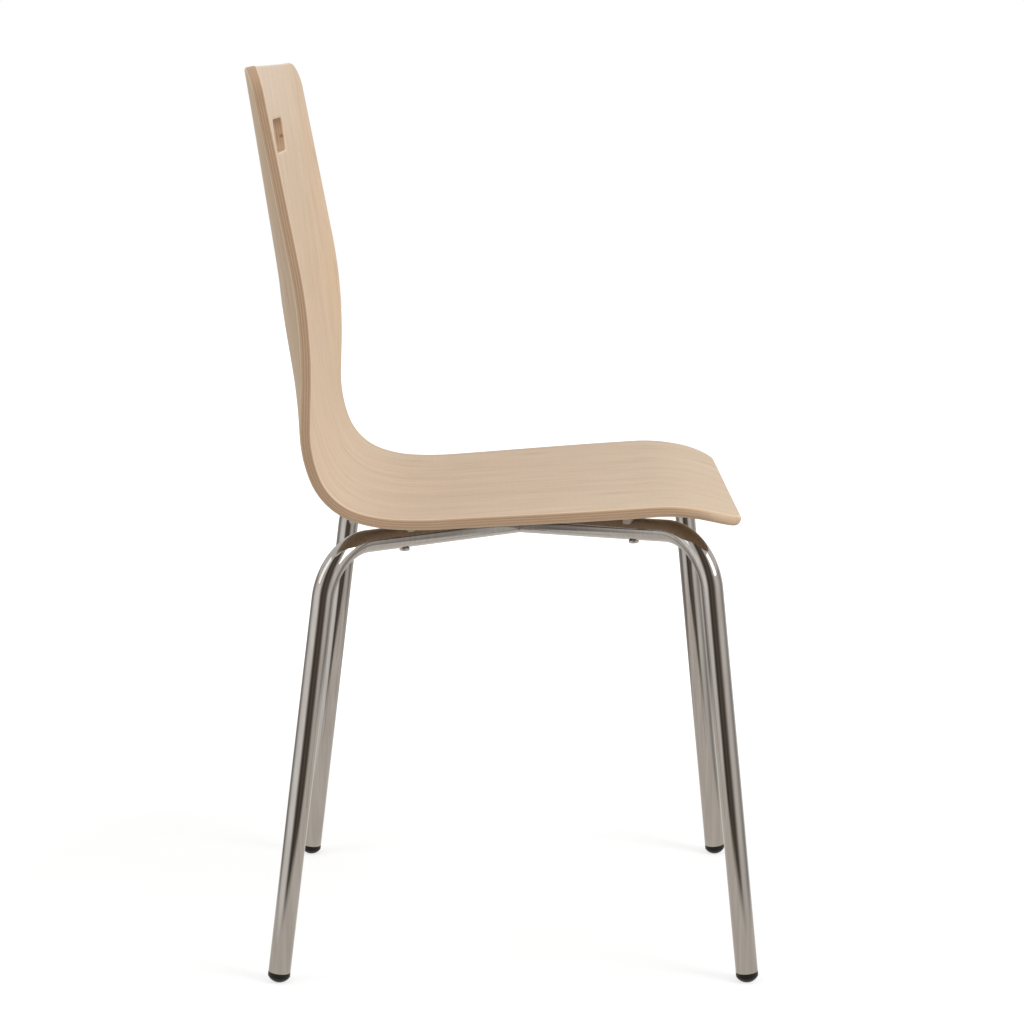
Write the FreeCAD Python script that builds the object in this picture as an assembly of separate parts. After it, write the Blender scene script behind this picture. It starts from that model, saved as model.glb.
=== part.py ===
import FreeCAD, Part
import math
import os

# Side chair: one bent plywood shell on four bent tube legs that meet under the seat.
# Millimetres. +Z is up, the chair faces -Y, +X is the sitter's left.
# The origin lies on the floor, below the middle of the overall width and depth.

Vector = FreeCAD.Vector
UP = Vector(0, 0, 1)
ORIGIN = Vector(0, 0, 0)

# Shell: side profile, followed along the sitter's face from the top of the back to the front lip
seat_height = 421.4
seat_rear_behind = 54.9
seat_rise_deg = 3.8
upper_back_length = 172.4
lumbar_radius = 484.0
lumbar_turn_deg = 13.2
lower_back_length = 28.0
bend_entry_radius = 117.0
bend_entry_turn_deg = 22.4
bend_radius = 54.0
bend_turn_deg = 51.6
bend_exit_radius = 120.0
bend_exit_turn_deg = 15.4
seat_dip_radius = 343.0
seat_dip_turn_deg = 6.7
seat_flat_length = 185.0
lip_radius = 170.0
lip_turn_deg = 27.6

# Shell: plan and section
ply_thickness = 10.0
back_half_width = 207.0
waist_half_width = 186.8
seat_half_width = 196.5
back_width_end_share = 0.40
waist_place_share = 0.60
seat_width_start_share = 0.86
top_corner_radius = 26.0
front_corner_radius = 36.0
edge_softening = 2.0
edge_match = 0.5
dish_depth_top = 10.4
dish_depth_gain = 9.9
dish_flat_power = 5
dish_fade_start_length = 195.0
dish_fade_length = 168.0
section_step = 28.0
section_points_per_side = 5

# Shell: hand slot
slot_length = 100.0
slot_height = 30.0
slot_corner_radius = 9.0
slot_softening = 2.0
slot_below_top = 64.0

# Frame: tubes
tube_diameter = 20.0
tube_wall = 1.8
foot_half_spread = 193.0
front_foot_ahead = 217.5
rear_foot_behind = 204.5
knee_half_spread = 182.0
front_knee_ahead = 176.5
rear_knee_behind = 155.0
hub_ahead = 12.5
hub_gap = 16.4
front_arm_rise = 22.5
rear_arm_rise = 11.0
knee_bend_radius = 50.0
mitre_gap = 0.1

# Foot glides
glide_dome_height = 7.0
glide_collar_height = 2.2
glide_plug_length = 14.0
glide_plug_clearance = 0.1
glide_floor_flat = 0.6

# Shell fixings: one screw, saddle spacer and insert on each arm
fixing_from_hub = 153.0
saddle_along_arm = 12.0
saddle_across_share = 0.85
saddle_corner_radius = 3.0
saddle_clearance = 0.1
saddle_top_clearance = 0.05
screw_diameter = 5.0
screw_hole_clearance = 0.6
screw_head_diameter = 9.4
screw_head_height = 2.8
screw_head_rounding = 1.6
screw_head_clearance = 0.35
screw_socket_size = 3.0
screw_socket_depth = 1.5
screw_tip_play = 1.0
insert_diameter = 8.0
insert_floor = 1.8
insert_clearance = 0.05
insert_sunk = 0.3
thread_clearance = 0.05

# Values worked out from the sizes above, and one overrun for every cutting tool
hub_height = seat_height - ply_thickness - hub_gap - tube_diameter / 2
cut_overrun = 6.0
long_reach = 4 * seat_height
corner_limit_share = 0.45
SEARCH_HALVINGS = 48


def turned(heading_deg):
    """Unit vector in the side plane: heading 0 points to the front of the chair, 90 points up."""
    angle = math.radians(heading_deg)
    return Vector(0, -math.cos(angle), math.sin(angle))


def profile_segments():
    """Segments of the side profile as (length, radius, turn): radius 0 is straight, turn is anticlockwise."""
    arcs = [
        (upper_back_length, 0, 0),
        (0, lumbar_radius, -lumbar_turn_deg),
        (lower_back_length, 0, 0),
        (0, bend_entry_radius, bend_entry_turn_deg),
        (0, bend_radius, bend_turn_deg),
        (0, bend_exit_radius, bend_exit_turn_deg),
        (0, seat_dip_radius, seat_dip_turn_deg),
        (seat_flat_length, 0, 0),
        (0, lip_radius, -lip_turn_deg),
    ]
    return [(length or radius * math.radians(abs(turn)), radius, turn) for length, radius, turn in arcs]


SEGMENTS = profile_segments()
PROFILE_LENGTH = sum(length for length, radius, turn in SEGMENTS)


def follow_profile(point, heading, distance):
    """Point and heading reached from the profile's top end after a distance along its segments."""
    left = distance
    for length, radius, turn in SEGMENTS:
        part = min(left, length)
        swing = turn * part / length
        chord = 2 * radius * math.sin(math.radians(abs(swing)) / 2) if radius else part
        point = point + turned(heading + swing / 2) * chord
        heading = heading + swing
        left = left - part
        if left <= 0:
            break
    return point, heading


def profile_top():
    """Top end of the profile and its heading, such that the seat's flat part starts at its own place."""
    before_seat = SEGMENTS[:-2]
    heading = seat_rise_deg - sum(turn for length, radius, turn in before_seat)
    reached = follow_profile(ORIGIN, heading, sum(length for length, radius, turn in before_seat))[0]
    return Vector(0, seat_rear_behind, seat_height) - reached, heading


PROFILE_TOP, TOP_HEADING = profile_top()


def profile_at(distance):
    """Point and heading of the sitter's face at a distance along the profile from the top edge."""
    return follow_profile(PROFILE_TOP, TOP_HEADING, distance)


def stations():
    """Distances along the profile at which the shell's sections stand: every join, and steps between."""
    places = [0.0]
    for length, radius, turn in SEGMENTS:
        steps = max(1, round(length / section_step))
        start = places[-1]
        places += [start + length * step / steps for step in range(1, steps + 1)]
    return places


def eased(share):
    """Smooth rise from 0 to 1 while share goes from 0 to 1."""
    held = min(max(share, 0.0), 1.0)
    return math.sin(math.pi * held / 2) ** 2


def half_width_at(distance):
    """Half of the shell's width: wide back, slight waist behind the seat, wide seat."""
    share = distance / PROFILE_LENGTH
    if share < waist_place_share:
        narrowing = eased((share - back_width_end_share) / (waist_place_share - back_width_end_share))
        return back_half_width + (waist_half_width - back_half_width) * narrowing
    widening = eased((share - waist_place_share) / (seat_width_start_share - waist_place_share))
    return waist_half_width + (seat_half_width - waist_half_width) * widening


def dish_at(distance):
    """Depth of the hollow of the back at its middle line: deepest at the lumbar, none in the seat."""
    depth = dish_depth_top + dish_depth_gain * distance / dish_fade_start_length
    return depth * eased(1 - (distance - dish_fade_start_length) / dish_fade_length)


def inward_at(distance):
    """Direction from the shell towards the sitter, square to the profile."""
    return turned(profile_at(distance)[1] + 90)


def face_point(distance, side_share, depth):
    """Point of the shell at a share of its half width, at a depth behind the sitter's face."""
    point = profile_at(distance)[0]
    hollow = dish_at(distance) * (1 - abs(side_share) ** dish_flat_power)
    shifted = point - inward_at(distance) * (hollow + depth)
    return shifted + Vector(half_width_at(distance) * side_share, 0, 0)


def shell_section(distance):
    """Closed wire across the shell, from edge to edge, square to the profile."""
    count = section_points_per_side
    shares = [step / count for step in range(-count, count + 1)]
    front = Part.BSplineCurve()
    front.interpolate([face_point(distance, share, 0) for share in shares])
    back = Part.BSplineCurve()
    back.interpolate([face_point(distance, share, ply_thickness) for share in reversed(shares)])
    left_edge = Part.makeLine(face_point(distance, 1, 0), face_point(distance, 1, ply_thickness))
    right_edge = Part.makeLine(face_point(distance, -1, ply_thickness), face_point(distance, -1, 0))
    return Part.Wire([front.toShape(), left_edge, back.toShape(), right_edge])


def framed(shape, place, along_x, normal):
    """Shape drawn on X and Y with its depth on Z, moved so that X follows along_x and Z follows normal."""
    along_y = normal.cross(along_x)
    matrix = FreeCAD.Matrix(
        along_x.x, along_y.x, normal.x, place.x,
        along_x.y, along_y.y, normal.y, place.y,
        along_x.z, along_y.z, normal.z, place.z,
        0, 0, 0, 1,
    )
    moved = shape.copy()
    moved.Placement = FreeCAD.Placement(matrix)
    return moved


def rounded_block(length, width, radius, low, high):
    """Upright block centred on the Z axis with rounded upright corners, from low to high."""
    block = Part.makeBox(length, width, high - low, Vector(-length / 2, -width / 2, low))
    uprights = [edge for edge in block.Edges if abs(edge.tangentAt(edge.FirstParameter).z) > 1 / 2]
    return block.makeFillet(min(radius, corner_limit_share * min(length, width)), uprights)


def slot_frame():
    """Middle of the hand slot on the sitter's side, and the direction square to the back there."""
    middle = face_point(slot_below_top, 0, 0)
    return middle, inward_at(slot_below_top)


def slot_cutter():
    """Rounded bar that cuts the hand slot through the back."""
    middle, normal = slot_frame()
    depth = ply_thickness + cut_overrun
    bar = rounded_block(slot_length, slot_height, slot_corner_radius, -depth, cut_overrun)
    return framed(bar, middle, Vector(1, 0, 0), normal)


# Frame geometry: each leg has a foot, a knee where leg and arm axes cross, and the hub
def leg_points(front, left):
    """Foot, knee and hub points on the axis of one leg tube."""
    side = 1 if left else -1
    foot_place = -front_foot_ahead if front else rear_foot_behind
    knee_place = -front_knee_ahead if front else rear_knee_behind
    knee_height = hub_height + (front_arm_rise if front else rear_arm_rise)
    foot = Vector(side * foot_half_spread, foot_place, 0)
    knee = Vector(side * knee_half_spread, knee_place, knee_height)
    hub = Vector(0, -hub_ahead, hub_height)
    return foot, knee, hub


def direction(start, end):
    """Unit vector from start to end."""
    step = end - start
    return step * (1 / step.Length)


def tube_path(front, left):
    """Axis of one leg tube from above its glide to the hub, with the knee as an arc."""
    foot, knee, hub = leg_points(front, left)
    down = direction(knee, foot)
    inwards = direction(knee, hub)
    half_angle = math.acos(down.dot(inwards)) / 2
    setback = knee_bend_radius / math.tan(half_angle)
    bisector = direction(ORIGIN, down + inwards)
    centre = knee + bisector * (knee_bend_radius / math.sin(half_angle))
    middle = centre - bisector * knee_bend_radius
    start = foot - down * (glide_dome_height - glide_floor_flat)
    leg_end = knee + down * setback
    arm_start = knee + inwards * setback
    return Part.Wire([
        Part.makeLine(start, leg_end),
        Part.Arc(leg_end, middle, arm_start).toShape(),
        Part.makeLine(arm_start, hub + inwards * tube_diameter),
    ])


def swept_round(path, diameter):
    """Round bar along a path."""
    edge = path.OrderedEdges[0]
    start = edge.valueAt(edge.FirstParameter)
    ring = Part.Wire([Part.makeCircle(diameter / 2, start, edge.tangentAt(edge.FirstParameter))])
    return path.makePipeShell([ring], True, False)


def mitre_wedge(front, left):
    """Quarter of space around the hub that one arm may fill, bounded by two upright mitre planes."""
    before = -long_reach - mitre_gap / 2
    after = mitre_gap / 2
    low_x = after if left else before
    low_y = -hub_ahead + (before if front else after)
    return Part.makeBox(long_reach, long_reach, long_reach, Vector(low_x, low_y, -long_reach / 2))


def fixing_axis(front, left):
    """Point on the arm's axis where the shell screw crosses it, and the screw's upward direction."""
    foot, knee, hub = leg_points(front, left)
    run = knee - hub
    plan_run = math.hypot(run.x, run.y)
    point = hub + run * (fixing_from_hub / plan_run)
    return point, inward_at(seat_distance(point)), direction(hub, knee)


def seat_distance(point):
    """Distance along the profile at which the seat lies straight above a point of the frame."""
    low = PROFILE_LENGTH / 2
    high = PROFILE_LENGTH
    for halving in range(SEARCH_HALVINGS):
        middle = (low + high) / 2
        place, heading = profile_at(middle)
        if (point - place).dot(turned(heading)) > 0:
            low = middle
        else:
            high = middle
    return low


def underside_height(front, left):
    """Distance along the fixing axis from the arm's axis up to the shell's underside."""
    point, upward, along = fixing_axis(front, left)
    place = profile_at(seat_distance(point))[0] - upward * ply_thickness
    return (place - point).dot(upward)


def fixing_hole(front, left):
    """Clearance hole for the shell screw through both walls of the arm."""
    point, upward, along = fixing_axis(front, left)
    base = point - upward * tube_diameter
    return Part.makeCylinder((screw_diameter + screw_hole_clearance) / 2, 2 * tube_diameter, base, upward)


def leg_tube(front, left):
    """One leg with its arm: a bent tube, mitred at the hub and drilled for the shell screw."""
    path = tube_path(front, left)
    outer = swept_round(path, tube_diameter)
    bore = swept_round(path, tube_diameter - 2 * tube_wall)
    tube = outer.cut(bore)
    tube = tube.common(mitre_wedge(front, left))
    return tube.cut(fixing_hole(front, left))


def glide(front, left):
    """Foot glide: a domed cap under the tube's end with a plug inside the bore."""
    foot, knee, hub = leg_points(front, left)
    upward = direction(foot, knee)
    radius = tube_diameter / 2
    plug_radius = radius - tube_wall - glide_plug_clearance
    dome_height = glide_dome_height - glide_collar_height
    dome_radius = (radius ** 2 + dome_height ** 2) / (2 * dome_height)
    dome_middle_angle = math.asin(radius / dome_radius) / 2
    dome_middle = Vector(
        dome_radius * math.sin(dome_middle_angle), 0, dome_radius * (1 - math.cos(dome_middle_angle)))
    tip = Vector(0, 0, 0)
    rim = Vector(radius, 0, dome_height)
    shoulder = Vector(radius, 0, glide_dome_height)
    neck = Vector(plug_radius, 0, glide_dome_height)
    plug_end = Vector(plug_radius, 0, glide_dome_height + glide_plug_length)
    axis_end = Vector(0, 0, glide_dome_height + glide_plug_length)
    outline = Part.Wire([
        Part.Arc(tip, dome_middle, rim).toShape(),
        Part.makeLine(rim, shoulder),
        Part.makeLine(shoulder, neck),
        Part.makeLine(neck, plug_end),
        Part.makeLine(plug_end, axis_end),
        Part.makeLine(axis_end, tip),
    ])
    body = Part.Face(outline).revolve(ORIGIN, UP, 360)
    sideways = direction(ORIGIN, UP.cross(upward).cross(upward))
    placed = framed(body, foot - upward * glide_floor_flat, sideways, upward)
    below = Vector(-long_reach / 2, -long_reach / 2, -long_reach)
    floor = Part.makeBox(long_reach, long_reach, long_reach, below)
    return placed.cut(floor)


def saddle_spacer(front, left):
    """Moulded spacer: flat against the shell, hollowed below to sit over the round arm."""
    point, upward, along = fixing_axis(front, left)
    rise = underside_height(front, left)
    level_along = direction(ORIGIN, along - upward * along.dot(upward))
    radius = tube_diameter / 2 + saddle_clearance
    across = saddle_across_share * tube_diameter
    flank = math.sqrt(radius ** 2 - (across / 2) ** 2)
    top = rise - saddle_top_clearance
    block = rounded_block(saddle_along_arm, across, saddle_corner_radius, flank, top)
    block = framed(block, point, level_along, upward)
    arm = Part.makeCylinder(radius, 2 * tube_diameter, point - along * tube_diameter, along)
    return block.cut(arm).cut(fixing_hole_through(point, upward))


def fixing_hole_through(point, upward):
    """Clearance hole through the spacer."""
    base = point - upward * long_reach
    return Part.makeCylinder((screw_diameter + screw_hole_clearance) / 2, 2 * long_reach, base, upward)


def insert_hole(front, left):
    """Blind hole in the shell's underside for a threaded insert."""
    point, upward, along = fixing_axis(front, left)
    base = point + upward * (underside_height(front, left) - cut_overrun)
    depth = ply_thickness - insert_floor
    return Part.makeCylinder(insert_diameter / 2, cut_overrun + depth, base, upward)


def insert_length():
    """Length of a threaded insert, a little sunk at both ends of its blind hole."""
    return ply_thickness - insert_floor - 2 * insert_sunk


def threaded_insert(front, left):
    """Threaded insert sunk in the shell's underside."""
    point, upward, along = fixing_axis(front, left)
    base = point + upward * (underside_height(front, left) + insert_sunk)
    length = insert_length()
    body = Part.makeCylinder(insert_diameter / 2 - insert_clearance, length, base, upward)
    bore_base = base - upward * (length / 2)
    bore = Part.makeCylinder(screw_diameter / 2 + thread_clearance, 2 * length, bore_base, upward)
    return body.cut(bore)


def seat_screw(front, left):
    """Button-head socket screw that runs up through the arm and the spacer into the insert."""
    point, upward, along = fixing_axis(front, left)
    head_top = -tube_diameter / 2 - screw_head_clearance
    rise = underside_height(front, left) + insert_sunk + insert_length() - screw_tip_play
    head_base = Vector(0, 0, head_top - screw_head_height)
    head = Part.makeCylinder(screw_head_diameter / 2, screw_head_height, head_base, UP)
    rim = [edge for edge in head.Edges if edge.BoundBox.ZMax < head_top - screw_head_height / 2]
    head = head.makeFillet(min(screw_head_rounding, 2 * corner_limit_share * screw_head_height), rim)
    shank = Part.makeCylinder(screw_diameter / 2, rise - head_top, Vector(0, 0, head_top), UP)
    hexagon = [
        Vector(
            screw_socket_size / math.sqrt(3) * math.cos(math.pi * corner / 3),
            screw_socket_size / math.sqrt(3) * math.sin(math.pi * corner / 3),
            head_top - screw_head_height,
        )
        for corner in range(7)
    ]
    socket = Part.Face(Part.makePolygon(hexagon)).extrude(UP * screw_socket_depth)
    screw = head.fuse(shank).removeSplitter().cut(socket)
    level_along = direction(ORIGIN, along - upward * along.dot(upward))
    return framed(screw, point, level_along, upward)


LEGS = [
    ("front_left", True, True),
    ("front_right", True, False),
    ("rear_left", False, True),
    ("rear_right", False, False),
]


def corner_edges(body, distance):
    """The two short edges through the ply where the section at a distance meets the shell's sides."""
    middles = [face_point(distance, side, ply_thickness / 2) for side in (-1, 1)]
    return [
        edge
        for edge in body.Edges
        if min(edge.CenterOfMass.distanceToPoint(middle) for middle in middles) < edge_match
    ]


def rim_edges(body, inside):
    """Edges of the sitter's face and the outer face: round the slot if inside, else round the outline."""
    edges = []
    for face in sorted(body.Faces, key=lambda face: face.Area)[-2:]:
        for wire in face.Wires:
            if inside != wire.isSame(face.OuterWire):
                edges += wire.Edges
    return edges


def seat_shell():
    """The bent plywood shell with rounded corners, softened edges, hand slot and insert holes."""
    body = Part.makeLoft([shell_section(distance) for distance in stations()], True, False)
    body = body.makeFillet(top_corner_radius, corner_edges(body, 0))
    body = body.makeFillet(front_corner_radius, corner_edges(body, PROFILE_LENGTH))
    body = body.makeFillet(edge_softening, rim_edges(body, False))
    body = body.cut(slot_cutter())
    body = body.makeFillet(slot_softening, rim_edges(body, True))
    for name, front, left in LEGS:
        body = body.cut(insert_hole(front, left))
    return body


def export(name, shapes):
    """Write one node's solids to its own file."""
    shape = shapes[0] if len(shapes) == 1 else Part.makeCompound(shapes)
    shape.exportStep(os.path.join("parts", name + ".step"))
    print(name, len(shape.Solids), "valid" if shape.isValid() else "NOT VALID", round(shape.Volume))


def main():
    """Build every node and write it."""
    os.makedirs("parts", exist_ok=True)
    export("seat_shell", [seat_shell()])
    for name, front, left in LEGS:
        export("leg_tube_" + name, [leg_tube(front, left)])
        export("foot_glide_" + name, [glide(front, left)])
        export("saddle_spacer_" + name, [saddle_spacer(front, left)])
    export("seat_screws", [seat_screw(front, left) for name, front, left in LEGS])
    export("threaded_inserts", [threaded_insert(front, left) for name, front, left in LEGS])


main()
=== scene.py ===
"""Looks of a stacking side chair: a bent plywood shell on four bent chromed tubes, in a plain pale studio."""

import logging
import math
from dataclasses import dataclass
from enum import Enum

import bmesh
import bpy
import numpy as np
from bpy.types import Material, Node, NodeSocket, Object, World
from numpy.typing import NDArray
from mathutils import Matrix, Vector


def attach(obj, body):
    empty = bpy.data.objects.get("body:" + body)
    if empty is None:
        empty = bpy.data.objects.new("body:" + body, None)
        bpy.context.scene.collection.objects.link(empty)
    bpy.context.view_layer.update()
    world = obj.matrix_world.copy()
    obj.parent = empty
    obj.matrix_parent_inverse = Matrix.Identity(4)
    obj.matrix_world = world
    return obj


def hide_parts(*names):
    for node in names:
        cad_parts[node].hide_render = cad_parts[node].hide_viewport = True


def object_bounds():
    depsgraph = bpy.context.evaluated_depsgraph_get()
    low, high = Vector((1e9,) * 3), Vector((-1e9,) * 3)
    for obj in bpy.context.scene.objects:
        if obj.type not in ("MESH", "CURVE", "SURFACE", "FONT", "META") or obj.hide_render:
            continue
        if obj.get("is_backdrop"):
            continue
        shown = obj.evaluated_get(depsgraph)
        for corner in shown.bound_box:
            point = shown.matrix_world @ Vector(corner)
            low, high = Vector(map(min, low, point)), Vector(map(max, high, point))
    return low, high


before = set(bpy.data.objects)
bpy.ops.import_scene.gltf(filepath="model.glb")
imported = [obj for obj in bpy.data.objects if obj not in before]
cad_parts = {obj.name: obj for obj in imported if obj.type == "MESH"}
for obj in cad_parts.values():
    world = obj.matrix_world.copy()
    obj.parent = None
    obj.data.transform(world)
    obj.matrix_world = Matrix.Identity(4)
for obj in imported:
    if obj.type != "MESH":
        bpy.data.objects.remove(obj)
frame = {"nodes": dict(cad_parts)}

Array = NDArray[np.float64]
Indices = NDArray[np.int64]
Colour = tuple[float, float, float, float]
# The two ends of a range, and for some what they are carried to
Ends = tuple[float, ...]

LOG = logging.getLogger("side_chair")
ROOT_BODY = "root"
PLACE_ATTRIBUTE = "sheet_place"
RUN_ATTRIBUTE = "rim_run"
MERGE_REACH = 2e-7
MM = 0.001
BLACK: Colour = (0, 0, 0, 1)
WHITE: Colour = (1, 1, 1, 1)


class Corner(Enum):
    """The four legs, each with its side (+1 is the sitter's left) and whether it is in front."""

    FRONT_LEFT = ("front_left", 1, True)
    FRONT_RIGHT = ("front_right", -1, True)
    REAR_LEFT = ("rear_left", 1, False)
    REAR_RIGHT = ("rear_right", -1, False)

    def __init__(self, tag: str, side: int, in_front: bool) -> None:
        """Keeps the ending of the corner's node names, its side and whether it is in front."""
        self.tag, self.side, self.in_front = tag, side, in_front


class Slot(Enum):
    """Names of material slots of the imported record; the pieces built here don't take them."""

    VENEER = "veneer_ply"
    CHROME = "chromed_tube"
    BLACK = "black_nylon"


# Meshes


def unit(vector: Array) -> Array:
    """The vector, or each row of it, divided by its length."""
    return vector / np.linalg.norm(vector, axis=-1, keepdims=True)


def eased(share: Array) -> Array:
    """Smooth rise from 0 to 1: the squared sine of a quarter turn times the share, held to 0 and 1."""
    return np.sin(np.pi / 2 * np.clip(share, 0, 1)) ** 2


def grid_quads(rows: int, columns: int, around: bool) -> Indices:
    """Quads that join neighbouring points of a grid numbered row by row.

    Args:
        rows: number of rows of points.
        columns: number of points in a row.
        around: joins the last column back to the first.

    Returns:
        One row of four point numbers for each quad.
    """
    index = np.arange(rows * columns).reshape(rows, columns)
    if around:
        index = np.concatenate([index, index[:, :1]], axis=1)
    corners = [index[:-1, :-1], index[1:, :-1], index[1:, 1:], index[:-1, 1:]]
    return np.stack(corners, axis=-1).reshape(-1, 4)


def linked(name: str, data: bpy.types.ID) -> Object:
    """A new object at the origin that shows the data, linked to the scene."""
    piece = bpy.data.objects.new(name, data)
    bpy.context.scene.collection.objects.link(piece)
    return piece


def mesh_piece(name: str, points: Array, quads: Indices, values: dict[str, Array] | None = None) -> Object:
    """Makes a closed, smooth mesh object at the origin from points and quads.

    Args:
        name: the piece's name.
        points: one row of x, y, z for each point, in metres.
        quads: one row of four point numbers for each face.
        values: point attributes by name, with one or three numbers for each point.

    Returns:
        The object, with equal points merged and its faces turned outwards.
    """
    mesh = bpy.data.meshes.new(name)
    mesh.from_pydata(points.tolist(), [], quads.tolist())
    for key, value in (values or {}).items():
        kind, part = ("FLOAT_VECTOR", "vector") if value.ndim > 1 else ("FLOAT", "value")
        mesh.attributes.new(key, kind, "POINT").data.foreach_set(part, value.ravel())
    work = bmesh.new()
    work.from_mesh(mesh)
    bmesh.ops.remove_doubles(work, verts=work.verts, dist=MERGE_REACH)
    bmesh.ops.recalc_face_normals(work, faces=work.faces)
    work.to_mesh(mesh)
    work.free()
    mesh.shade_smooth()
    return linked(name, mesh)


# Finishes


@dataclass(frozen=True)
class Grain:
    """A noise, in cycles for each metre across, along and deep, with its detail and roughness."""

    across: float
    along: float
    deep: float
    detail: float
    roughness: float = 0.5


@dataclass(frozen=True)
class Layer:
    """A colour laid over another where a noise is high, from none at low to its share at high."""

    grain: Grain
    low: float
    high: float
    share: float
    colour: Colour


class Nodes:
    """A node tree and its shader, with short calls to add nodes and join them."""

    def __init__(self, owner: Material | World, shader: str = "Principled BSDF") -> None:
        """Turns on the nodes of a new material or world.

        Args:
            owner: the material or world.
            shader: the name of its shader node.
        """
        owner.use_nodes = True
        self.owner = owner
        self.tree = owner.node_tree
        self.shader = self.tree.nodes[shader]

    def add(self, kind: str, settings: dict[str, object] | None = None, **inputs: object) -> Node:
        """Adds a node.

        Args:
            kind: the node's type name after "ShaderNode".
            settings: properties of the node, such as its operation.
            inputs: values or sockets for its inputs, where _ stands for a space and in_1 for input 1.

        Returns:
            The new node.
        """
        node = self.tree.nodes.new("ShaderNode" + kind)
        for key, value in (settings or {}).items():
            setattr(node, key, value)
        for key, value in inputs.items():
            self.feed(node.inputs[int(key[3:]) if key.startswith("in_") else key.replace("_", " ")], value)
        return node

    def feed(self, socket: NodeSocket, value: object) -> None:
        """Gives a socket a value, or joins another socket to it."""
        if isinstance(value, NodeSocket):
            self.tree.links.new(value, socket)
        else:
            socket.default_value = value

    def place(self) -> NodeSocket:
        """The piece's own Object coordinates."""
        return self.add("TexCoord").outputs["Object"]

    def from_origin(self) -> NodeSocket:
        """The distance from the piece's origin."""
        return self.add("VectorMath", {"operation": "LENGTH"}, in_0=self.place()).outputs["Value"]

    def math(self, operation: str, first: object, second: object = 0.0, third: object = 0.0) -> NodeSocket:
        """The result of a Math node on up to three numbers or sockets."""
        return self.add("Math", {"operation": operation}, in_0=first, in_1=second, in_2=third).outputs[0]

    def gap(self, first: object, second: object) -> NodeSocket:
        """How far apart two numbers are."""
        return self.math("ABSOLUTE", self.math("SUBTRACT", first, second))

    def weighed(self, first: object, weight: float, second: object, other: object) -> NodeSocket:
        """The first number times its weight, plus the second times the other weight."""
        return self.math("MULTIPLY_ADD", first, weight, self.math("MULTIPLY", second, other))

    def span(self, value: object, low: float, high: float, to_low: float = 0.0, to_high: float = 1.0) -> NodeSocket:
        """A number carried from one range to another and held inside it."""
        node = self.add("MapRange", {"clamp": True}, in_0=value, in_1=low, in_2=high, in_3=to_low, in_4=to_high)
        return node.outputs[0]

    def mix(self, share: object, first: object, second: object) -> NodeSocket:
        """A colour that goes from the first to the second as share goes from 0 to 1."""
        return self.add("Mix", {"data_type": "RGBA"}, in_0=share, in_6=first, in_7=second).outputs[2]

    def ramp(self, value: object, stops: list[tuple[float, Colour]]) -> NodeSocket:
        """A colour read from stops between 0 and 1, straight from each stop to the next."""
        node = self.add("ValToRGB", in_0=value)
        elements = node.color_ramp.elements
        for position, colour in stops[1:-1]:
            elements.new(position).color = colour
        elements[0].color, elements[-1].color = stops[0][1], stops[-1][1]
        return node.outputs[0]

    def noise(self, place: object, grain: Grain) -> NodeSocket:
        """Noise between 0 and 1 at a place."""
        cycles = (grain.across, grain.along, grain.deep)
        scaled = self.add("VectorMath", {"operation": "MULTIPLY"}, in_0=place, in_1=cycles).outputs[0]
        node = self.add("TexNoise", Vector=scaled, Scale=1.0, Detail=grain.detail, Roughness=grain.roughness)
        return node.outputs[0]

    def laid(self, layer: Layer, place: object, under: object) -> NodeSocket:
        """A layer's colour laid over the colour under it."""
        share = self.span(self.noise(place, layer.grain), layer.low, layer.high, 0.0, layer.share)
        return self.mix(share, under, layer.colour)

    def surface(self, **inputs: object) -> None:
        """Sets the shader's own sockets: a plain value directly, a socket by a link."""
        for key, value in inputs.items():
            self.feed(self.shader.inputs[key.replace("_", " ")], value)

    def bump(self, height: object, strength: float, distance: float) -> None:
        """Gives the shader a bump from a height."""
        self.surface(Normal=self.add("Bump", Height=height, Strength=strength, Distance=distance).outputs[0])


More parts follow.
